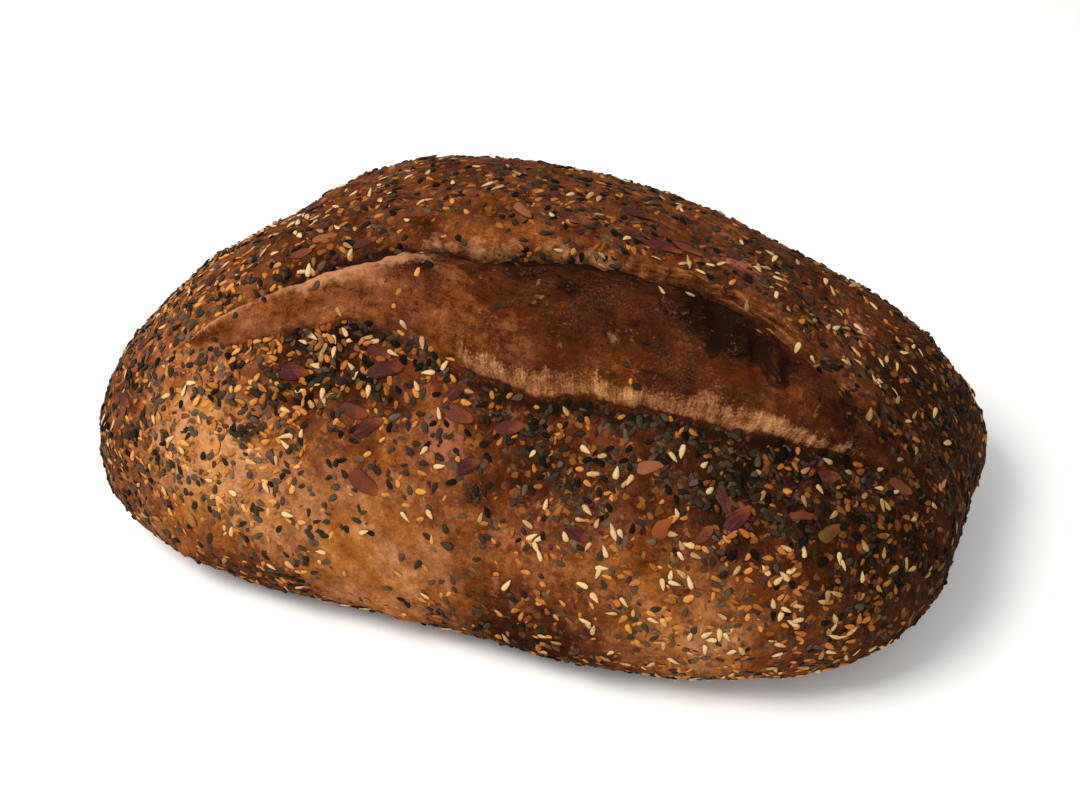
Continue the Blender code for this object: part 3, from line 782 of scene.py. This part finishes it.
def strayed(points, over, far):
    """Points moved by noise, over this distance and so far, in millimetres."""
    moves = [noise.noise_vector(Vector(point) / (over * MM)) for point in points]
    return points + np.array(moves) * far * MM


def joined_pips(name, shape, places, frames, sizes, tones, ragged, material):
    """One mesh of many pips, with a tone for each."""
    points, faces, crown = shape
    count, corners = len(places), len(points)
    world = np.einsum("npk,nkd->npd", points[None] * sizes[:, None, :], frames) + places[:, None, :]
    mesh = bpy.data.meshes.new(name)
    all_faces = [[corner + number * corners for corner in face] for number in range(count) for face in faces]
    mesh.from_pydata(strayed(world.reshape(-1, 3), *ragged).tolist(), [], all_faces)
    add_values(mesh, "tone", np.repeat(tones, corners))
    add_values(mesh, "crown", np.tile(crown, count))
    add_values(mesh, "along", np.tile(points[:, 0] / np.ptp(points[:, 0]) + 0.5, count))
    add_values(mesh, "skin", (points * SKIN_SQUEEZE + places[:, None, :]).reshape(-1, 3))
    return new_piece(name, mesh, material)


def sample_crust(crust, rng, tries):
    """Random places spread evenly over the crust's area, their normals, and what it keeps there, by name."""
    mesh = crust.data
    corners = numbers_of(mesh.polygons, "vertices", 3, int)
    points, normals = points_and_normals(mesh)
    a, b, c = (points[corners[:, k]] for k in range(3))
    area = np.linalg.norm(np.cross(b - a, c - a), axis=1)
    chosen = corners[np.searchsorted(np.cumsum(area) / area.sum(), rng.random(tries))]
    u, v = rng.random((2, tries))
    folded = u + v > 1
    u, v = np.where(folded, 1 - u, u), np.where(folded, 1 - v, v)
    weights = np.stack((1 - u - v, u, v), axis=1)
    facing = unit(np.einsum("nk,nkd->nd", weights, normals[chosen]))
    kept = {}
    for name in ("bloom", "lip", "gathered"):
        values = numbers_of(mesh.attributes[name].data, "value")
        kept[name] = np.einsum("nk,nk->n", weights, values[chosen])
    return np.einsum("nk,nkd->nd", weights, points[chosen]), facing, kept


def spaced_out(places, gap):
    """The ranks of places that keep this distance from all the earlier ones."""
    cells, kept = {}, []
    around = [(i, j, k) for i in (-1, 0, 1) for j in (-1, 0, 1) for k in (-1, 0, 1)]
    for rank, place in enumerate(places.tolist()):
        x, y, z = (int(part // gap) for part in place)
        near = (other for i, j, k in around for other in cells.get((x + i, y + j, z + k), ()))
        if all(math.dist(place, other) >= gap for other in near):
            cells.setdefault((x, y, z), []).append(place)
            kept.append(rank)
    return np.array(kept)


def seed_layer(crust, kernels, rng, gap, tries, lift, cover, spots):
    """Places and normals of one layer of seeds. They keep clear of the kernels, given as (place, size)."""
    places, normals, traits = sample_crust(crust, rng, tries)
    thick = cover + patches(places, spots) + GATHERED_COVER * traits["gathered"] * (lift == 0)
    thick *= 1 + relief(places, CLUSTERS) / MM
    bare = np.maximum(traits["bloom"], traits["lip"]) > MOSTLY
    thick = np.where(bare, STRAY_COVER * (lift == 0), np.clip(thick, STRAY_COVER, 1))
    kept = spaced_out(places, gap)
    kept = kept[(rng.random(len(kept)) < thick[kept]) & (places[kept, 2] > SEED_LOWEST)]
    clear = [np.linalg.norm(places[kept] - middle, axis=1) > KERNEL_CLEAR * size for middle, size in kernels]
    kept = kept[np.all(clear, axis=0)]
    raised = lift * np.clip(thick[kept, None] / HEAP_FULL, 0, 1)
    return places[kept] + normals[kept] * raised, normals[kept]


def kinds_at(places, rng):
    """Draws a kind for each place, by the mix there."""
    shares = np.array([np.clip(usual + patches(places, spots), RAREST, 1) for usual, spots in MIX.values()])
    reached = np.cumsum(shares / shares.sum(axis=0), axis=0)
    return (rng.random(len(places)) > reached).sum(axis=0)


def turned_frames(normals, rng):
    """For each seed, axes that lie along it, across it and out of the crust."""
    count = len(normals)
    leaning = normals + rng.normal(0, SEED_TILT, (count, 3))
    leaning += np.clip(LEAN_RISE * normals[:, 1:2], 0, 1) * SEED_LEAN
    out = unit(leaning)
    along = unit(np.cross(out, rng.normal(0, 1, (count, 3))))
    return np.stack((along, np.cross(out, along), out), axis=1)


def lay_seeds(crust, kernels):
    """Lays the seeds on the crust, clear of the kernels, as one piece for each kind."""
    rng = np.random.default_rng(DRAW)
    layers = [seed_layer(crust, kernels, rng, *layer) for layer in LAYERS]
    places, normals = (np.concatenate(parts) for parts in zip(*layers))
    drawn = kinds_at(places, rng)
    for number, name in enumerate(MIX):
        size, drawn_out, blunt, stands_out, spread = KINDS[name]
        chosen = drawn == number
        count = int(chosen.sum())
        frames = turned_frames(normals[chosen], rng)
        sizes = rng.normal(1, spread, (count, 1)) * rng.normal(1, SEED_UNEVEN, (count, 3))
        sizes = np.clip(sizes, *SEED_SIZES)
        raised = rng.uniform(*stands_out, (count, 1)) * size[2] * MM
        lifted = places[chosen] + frames[:, 2] * raised
        # The seeds darken with the crust's browning and its painted shade, and with more painted shade at the
        # right end.
        toast_and_painted_light_here = TOAST + patches(lifted, TOAST_AND_PAINTED_LIGHT_SPOTS)
        tones = TONE_SPREAD * rng.random(count) + TONE_FALL * (TONE_AT - toast_and_painted_light_here)
        tones = np.clip(tones + patches(lifted, TONE_AND_SHADE_SPOTS), 0, 1)
        shape = pip_shape(size, *SEED_FACETS, drawn_out, blunt)
        joined_pips(name, shape, lifted, frames, sizes, tones, SEED_RAGGED, seed_material(name))


def back_kernels(crust, rng):
    """Rows like those of KERNELS, for the sides that the camera doesn't see."""
    places, outward, traits = sample_crust(crust, rng, BACK_TRIES * BACK_KERNELS)
    hidden = (outward[:, 1] > BACK_FACING) & (traits["bloom"] + traits["lip"] < BARELY)
    places = places[hidden & (places[:, 2] > BACK_LOWEST)]
    spots = places[spaced_out(places, BACK_GAP)][:BACK_KERNELS] / MM
    return [(*spot, *(rng.uniform(*least_most) for least_most in BACK_DRAWS)) for spot in spots]


def lay_kernels(crust):
    """Lays the kernels and returns the (place, size) of each."""
    rng = np.random.default_rng(DRAW + 1)
    points, normals = points_and_normals(crust.data)
    rows = np.array([*KERNELS, *back_kernels(crust, rng)])
    settled, frames = [], []
    for place, turn in zip(rows[:, :3] * MM, np.radians(rows[:, 3])):
        nearest = np.argmin(np.linalg.norm(points - place, axis=1))
        out = Vector(normals[nearest])
        level = Vector((math.cos(turn), math.sin(turn), 0))
        along = (level - out * level.dot(out)).normalized()
        settled.append(points[nearest] + normals[nearest] * rng.uniform(*KERNEL_STANDS) * KERNEL[2] * MM)
        frames.append((along, out.cross(along), out))
    sizes = rows[:, 4:5] * rng.uniform(*KERNEL_UNEVEN, (len(rows), 3))
    shape = pip_shape(KERNEL, *KERNEL_FACETS, *KERNEL_FORM)
    material, tones = kernel_material(), rows[:, 5]
    joined_pips("kernels", shape, np.array(settled), np.array(frames), sizes, tones, KERNEL_RAGGED, material)
    return list(zip(settled, rows[:, 4]))


# ---- materials


def add(tree, kind, inputs=None, **settings):
    """A node with its settings, and its inputs by name: a socket is linked, a value is set."""
    made = tree.nodes.new("ShaderNode" + kind)
    for name, value in settings.items():
        setattr(made, name, value)
    for name, value in (inputs or {}).items():
        if isinstance(value, bpy.types.NodeSocket):
            tree.links.new(value, made.inputs[name])
        else:
            made.inputs[name].default_value = value
    return made


def value_of(tree, name, output="Fac"):
    """What the mesh keeps under this name."""
    return add(tree, "Attribute", attribute_name=name).outputs[output]


def maths(tree, operation, a, b=0.5):
    return add(tree, "Math", {0: a, 1: b}, operation=operation).outputs[0]


def grain(tree, size, detail=4, roughness=0.6, vector=None):
    """Noise from 0 to 1 whose spots are about this many millimetres."""
    where = vector or add(tree, "TexCoord").outputs["Object"]
    settings = {"Vector": where, "Scale": 1 / (size * MM), "Detail": detail, "Roughness": roughness}
    return add(tree, "TexNoise", settings).outputs["Fac"]


def streaks(tree, size, squeeze):
    """The same, drawn out into threads by a squeeze along the loaf, across the near edge and the far edge."""
    mapping = add(tree, "Mapping", {"Vector": value_of(tree, "torn", "Vector"), "Scale": squeeze})
    return grain(tree, size, vector=mapping.outputs["Vector"])


def ramp(tree, factor, rows):
    """Colours by a factor. Each row is a position and a colour as screens show it."""
    made = add(tree, "ValToRGB", {"Fac": factor})
    elements = made.color_ramp.elements
    while len(elements) < len(rows):
        elements.new(0.5)
    for element, (position, *colour) in zip(elements, rows):
        element.position = position
        element.color = tint(*colour)
    return made.outputs["Color"]


def rising(tree, factor, low, high, most=1.0):
    """0 below low, rising to the most at high."""
    limits = {"From Min": low, "From Max": high, "To Max": most}
    return add(tree, "MapRange", {"Value": factor, **limits}).outputs["Result"]


def blend(tree, factor, a, b):
    """Goes from a to b by a factor. Each is a socket or a colour."""
    return add(tree, "Mix", {0: factor, 6: a, 7: b}, data_type="RGBA").outputs[2]


def blank(name, roughness, specular):
    made = bpy.data.materials.new(name)
    made.use_nodes = True
    shader = made.node_tree.nodes["Principled BSDF"]
    shader.inputs["Roughness"].default_value = roughness
    shader.inputs["Specular IOR Level"].default_value = specular
    return made, made.node_tree, shader


def sway(tree, base, parts):
    """A value with others added to it, each given as a socket about 0.5 and its strength."""
    total = base
    for part, strength in parts:
        scaled = maths(tree, "MULTIPLY", maths(tree, "SUBTRACT", part, 0.5), strength)
        total = maths(tree, "ADD", total, scaled)
    return total


def wobble(tree, base, noises, threads=()):
    """A value with noises, and with threads, added to it."""
    parts = [(grain(tree, size), strength) for size, strength in noises]
    parts += [(streaks(tree, size, squeeze), strength) for size, squeeze, strength in threads]
    return sway(tree, base, parts)


def patchy(tree, size, *band):
    """1 in patches, 0 between them."""
    return rising(tree, grain(tree, size), *band)


def mottled(tree, tone, patches, plain, other):
    """A plain ramp of colours, with another in patches."""
    return blend(tree, patchy(tree, *patches), ramp(tree, tone, plain), ramp(tree, tone, other))


def coat(tree, shader, colour, layers):
    """Gives a shader its colour and its fine relief: (size and height in millimetres, strength) each."""
    tree.links.new(colour, shader.inputs["Base Color"])
    normal = None
    for size, tall, strength in layers:
        inputs = {"Height": grain(tree, size), "Distance": tall * MM, "Strength": strength}
        if normal:
            inputs["Normal"] = normal
        normal = add(tree, "Bump", inputs).outputs["Normal"]
    tree.links.new(normal, shader.inputs["Normal"])


def sunken_seeds(tree, colour):
    """Seeds that the crust has grown over: small ovals of another colour, where the loose seeds lie too."""
    where = add(tree, "TexCoord").outputs["Object"]
    bent = add(tree, "TexNoise", {"Vector": where, "Scale": 1 / SUNKEN_BEND}).outputs["Color"]
    where = add(tree, "Mix", {4: where, 5: bent, "Factor": SUNKEN_BEND}, data_type="VECTOR").outputs[1]
    cell = add(tree, "TexVoronoi", {"Vector": where, "Scale": 1 / SUNKEN_GAP})
    drawn = add(tree, "SeparateColor", {0: cell.outputs["Color"]})
    oval = rising(tree, cell.outputs["Distance"], *SUNKEN_EDGE)
    covered = maths(tree, "MULTIPLY", oval, value_of(tree, "cover"))
    for channel, band, paint in SUNKEN_PAINTS:
        share = maths(tree, "MULTIPLY", covered, rising(tree, drawn.outputs[channel], *band))
        colour = blend(tree, share, colour, paint)
    return colour


def seeded_crust(tree):
    # The toast carries painted light and shade as well as the browning.
    toast_and_painted_light = wobble(tree, value_of(tree, "toast_and_painted_light"), TOAST_NOISES)
    return sunken_seeds(tree, mottled(tree, toast_and_painted_light, RUSTY_PATCHES, CRUST_COLOURS, RUSTY_COLOURS))


def torn_dough(tree):
    # The bloom's tone carries painted shade in the hollows and towards the right.
    tone = wobble(tree, value_of(tree, "bloom_tone_and_shade"), BLOOM_NOISES, BLOOM_THREADS)
    colour = mottled(tree, tone, TAWNY_PATCHES, BLOOM_COLOURS, TAWNY_COLOURS)
    colour = blend(tree, patchy(tree, *RUDDY_PATCHES), colour, RUDDY_COLOUR)
    colour = blend(tree, patchy(tree, *SMOKY_PATCHES), colour, SMOKY_COLOUR)
    return scratched(tree, dusted(tree, colour))


def dusted(tree, colour):
    """Fine flecks of flour, in patches."""
    flecks = rising(tree, grain(tree, FLOUR_SIZE, detail=2), *FLOUR_BAND)
    dusty = maths(tree, "MULTIPLY", flecks, patchy(tree, *DUSTY_PATCHES))
    return blend(tree, dusty, colour, DUST_COLOUR)


def scratched(tree, colour):
    """Short dark scratches and specks."""
    lines = rising(tree, streaks(tree, *SCRATCHES), *SCRATCH_BAND)
    lines = maths(tree, "MULTIPLY", lines, patchy(tree, *SCRATCH_PATCHES))
    colour = blend(tree, lines, colour, SHADE_AND_SPECK_COLOUR)
    return blend(tree, patchy(tree, *SPECKS), colour, SHADE_AND_SPECK_COLOUR)


def curled_fold_shade(tree, colour):
    """Painted shade along the strands in the curled folds, with hairs along them."""
    size, strength = HAIRS
    hairs = grain(tree, size, vector=value_of(tree, "hairs", "Vector"))
    strand = wobble(tree, sway(tree, value_of(tree, "strand"), [(hairs, strength)]), STRAND_NOISES)
    return blend(tree, rising(tree, strand, *STRAND_BAND), colour, SHADE_AND_SPECK_COLOUR)


def crust_material():
    made, tree, shader = blank("crust", *CRUST_SHINE)
    colour = blend(tree, value_of(tree, "bloom"), seeded_crust(tree), torn_dough(tree))
    fibres = wobble(tree, streaks(tree, *LIP_STREAKS), LIP_NOISES)
    threads = wobble(tree, FRINGE_TONE, FRINGE_NOISES, FRINGE_THREADS)
    colours = {
        "flush": FLUSH_COLOUR,
        "lip": ramp(tree, fibres, LIP_COLOURS),
        "fringe": ramp(tree, threads, FRINGE_COLOURS),
        "pale_and_lit_edge": PALE_AND_HIGHLIGHT_COLOUR,
        "crease_shade": SHADE_AND_SPECK_COLOUR,
    }
    # These lay painted shade in the creases and a painted highlight on the pale edges, among the rest.
    for name, (noises, frayed, band) in PAINTS.items():
        mask = wobble(tree, value_of(tree, name), noises, frayed)
        colour = blend(tree, rising(tree, mask, *band), colour, colours[name])
    coat(tree, shader, curled_fold_shade(tree, colour), CRUST_BUMPS)
    return made


def seed_material(name):
    made, tree, shader = blank(name, *SEED_SHINE)
    body = ramp(tree, wobble(tree, value_of(tree, "tone"), SEED_NOISES), SEED_COLOURS[name])
    # The rim gets painted shade where the pip meets the crust.
    skin = rising(tree, value_of(tree, "crown"), *SEED_RIM_SHADE)
    coat(tree, shader, blend(tree, skin, RIM_SHADE_COLOURS[name], body), SEED_BUMPS)
    return made


def kernel_material():
    made, tree, shader = blank("kernel", *KERNEL_SHINE)
    body = ramp(tree, wobble(tree, value_of(tree, "tone"), KERNEL_NOISES), KERNEL_COLOURS)
    lines = grain(tree, SKIN_LINES, vector=value_of(tree, "skin", "Vector"))
    body = blend(tree, rising(tree, lines, *SHEEN_BAND), body, KERNEL_SHEEN)
    # An orange end, partly a painted highlight.
    tip_sheen = wobble(tree, value_of(tree, "along"), TIP_NOISES)
    body = blend(tree, rising(tree, tip_sheen, *TIP_BAND), body, KERNEL_TIP_SHEEN)
    # The rim gets painted shade where the kernel meets the crust.
    skin = rising(tree, value_of(tree, "crown"), *KERNEL_RIM_SHADE)
    coat(tree, shader, blend(tree, skin, RIM_SHADE_COLOURS["kernels"], body), KERNEL_BUMPS)
    return made


# ---- floor, lights and camera


def make_floor():
    bpy.ops.mesh.primitive_plane_add(size=FLOOR_SIZE)
    floor = bpy.context.object
    floor.name = "floor"
    made, tree, shader = blank("floor", *FLOOR_SHINE)
    shader.inputs["Base Color"].default_value = FLOOR_COLOUR
    floor.data.materials.append(made)


def add_light(name, place, size, energy, colour):
    lamp = bpy.data.lights.new(name, "AREA")
    lamp.size = size
    lamp.energy = energy
    lamp.color = colour
    light = new_object(name, lamp)
    light.location = place
    light.rotation_euler = (CAMERA_AIM - Vector(place)).to_track_quat("-Z", "Y").to_euler()


def light_scene():
    world = bpy.data.worlds.new("studio")
    bpy.context.scene.world = world
    world.use_nodes = True
    background = world.node_tree.nodes["Background"]
    background.inputs["Color"].default_value = SKY_COLOUR
    background.inputs["Strength"].default_value = SKY_STRENGTH
    for lamp in LAMPS:
        add_light(*lamp)
    bpy.context.scene.view_settings.view_transform = "Standard"


def make_camera():
    lens = bpy.data.cameras.new("camera")
    lens.lens = CAMERA_LENS
    lens.sensor_width = CAMERA_SENSOR
    lens.clip_start = CAMERA_CLIP
    lens.shift_x, lens.shift_y = CAMERA_SHIFT
    azimuth, elevation = math.radians(CAMERA_AZIMUTH), math.radians(CAMERA_ELEVATION)
    level = math.cos(elevation)
    back = Vector((math.sin(azimuth) * level, -math.cos(azimuth) * level, math.sin(elevation)))
    camera = new_object("camera", lens)
    camera.location = CAMERA_AIM + back * CAMERA_DISTANCE
    camera.rotation_euler = back.to_track_quat("Z", "Y").to_euler()
    bpy.context.scene.camera = camera


make_camera()
light_scene()
make_floor()
noise.seed_set(DRAW)  # else noise_vector, which makes the pips uneven, differs from run to run
crust = make_crust(crust_material())
lay_seeds(crust, lay_kernels(crust))
